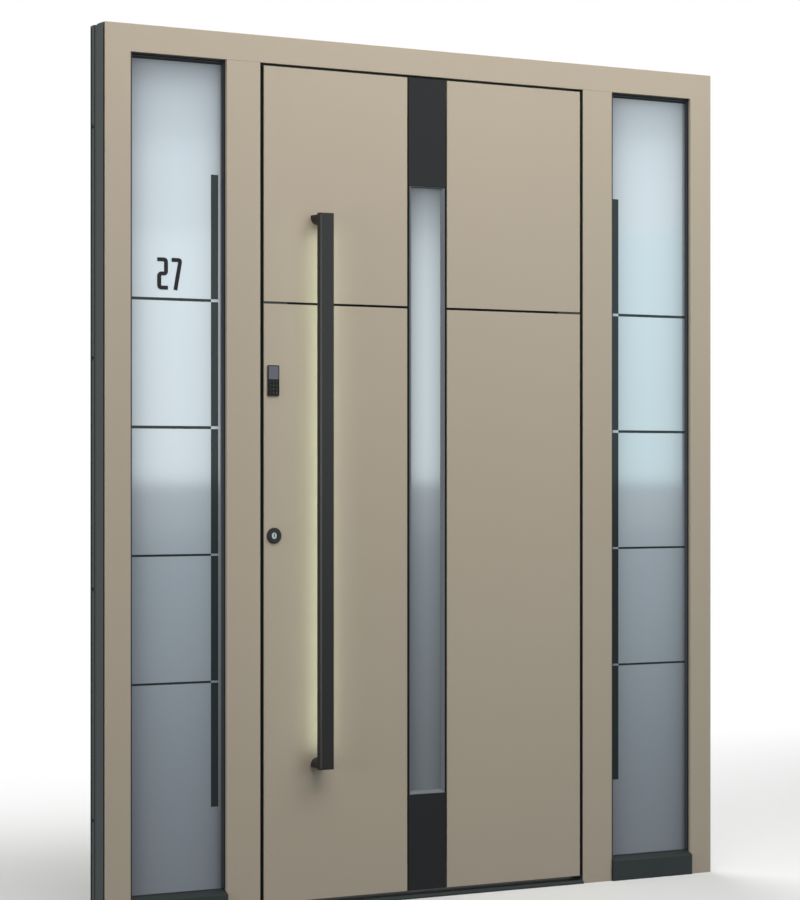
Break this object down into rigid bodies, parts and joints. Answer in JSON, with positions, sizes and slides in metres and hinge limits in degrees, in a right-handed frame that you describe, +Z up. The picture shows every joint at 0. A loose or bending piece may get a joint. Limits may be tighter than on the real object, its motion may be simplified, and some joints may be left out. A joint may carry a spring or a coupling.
{
  "type": "front door with sidelights",
  "caption": "Flush entrance door with a glazed column and an illuminated pull bar, hung inwards in a frame with a fixed frosted sidelight on each side.",
  "frame": {"origin": "middle of the threshold's underside, on the floor line, halfway through the frame's depth", "axes": "+X to the right seen from outside, +Y inwards, +Z up"},
  "size_m": [1.86, 0.213, 2.25],
  "materials": {
    "beige_coat": "fine matt powder coat",
    "anthracite_coat": "matt powder coat",
    "black_inlay": "smooth satin",
    "grey_trim": "satin",
    "black_bar": "satin powder coat",
    "frosted_glass": "satin etched",
    "clear_glass": "clear",
    "black_rubber": "matt",
    "leaf_core": "matt",
    "warm_light": "diffuser",
    "satin_steel": "satin",
    "keypad_black": "gloss",
    "keypad_screen": "gloss"
  },
  "bodies": {
    "frame": {"left_jamb": "anthracite_coat", "right_jamb": "anthracite_coat", "head": "anthracite_coat", "left_mullion": "anthracite_coat", "right_mullion": "anthracite_coat", "left_jamb_cover": "beige_coat", "right_jamb_cover": "beige_coat", "head_cover": "beige_coat", "left_mullion_cover": "beige_coat", "right_mullion_cover": "beige_coat", "threshold": "anthracite_coat", "frame_seal": "black_rubber", "lock_keeps": "satin_steel", "left_sidelight_sill": "anthracite_coat", "right_sidelight_sill": "anthracite_coat", "left_sidelight_outer_pane": "frosted_glass", "right_sidelight_outer_pane": "frosted_glass", "left_sidelight_inner_pane": "clear_glass", "right_sidelight_inner_pane": "clear_glass", "sidelight_gaskets": "black_rubber", "sidelight_spacers": "black_rubber", "sidelight_beads": "anthracite_coat", "hinge_frame_halves": "satin_steel"},
    "leaf": {"lock_stile": "anthracite_coat", "hinge_stile": "anthracite_coat", "leaf_top_rail": "anthracite_coat", "leaf_bottom_rail": "anthracite_coat", "leaf_core": "leaf_core", "left_lower_panel": "beige_coat", "left_upper_panel": "beige_coat", "right_lower_panel": "beige_coat", "right_upper_panel": "beige_coat", "lower_inlay": "black_inlay", "upper_inlay": "black_inlay", "column_trim_outer": "grey_trim", "column_trim_inner": "grey_trim", "column_pane_outer": "frosted_glass", "column_pane_inner": "clear_glass", "inner_skin": "beige_coat", "pull_bar": "black_bar", "pull_bar_light": "warm_light", "pull_bar_standoffs": "black_bar", "keypad_housing": "keypad_black", "keypad_screen": "keypad_screen", "keypad_keys": "keypad_black", "lock_rosette": "black_bar", "inner_lock_rosette": "satin_steel", "lock_cylinder": "satin_steel", "lever_rose": "satin_steel", "inside_lever": "satin_steel", "lock_strip": "satin_steel", "lock_bolts": "satin_steel", "hinge_leaf_halves": "satin_steel"}
  },
  "joints": [
    {"name": "leaf_hinge", "type": "hinge", "parent": "frame", "child": "leaf", "pos_m": [0.513, 0.057, 0], "axis": [0, 0, -1], "range_deg": [0, 100]}
  ]
}
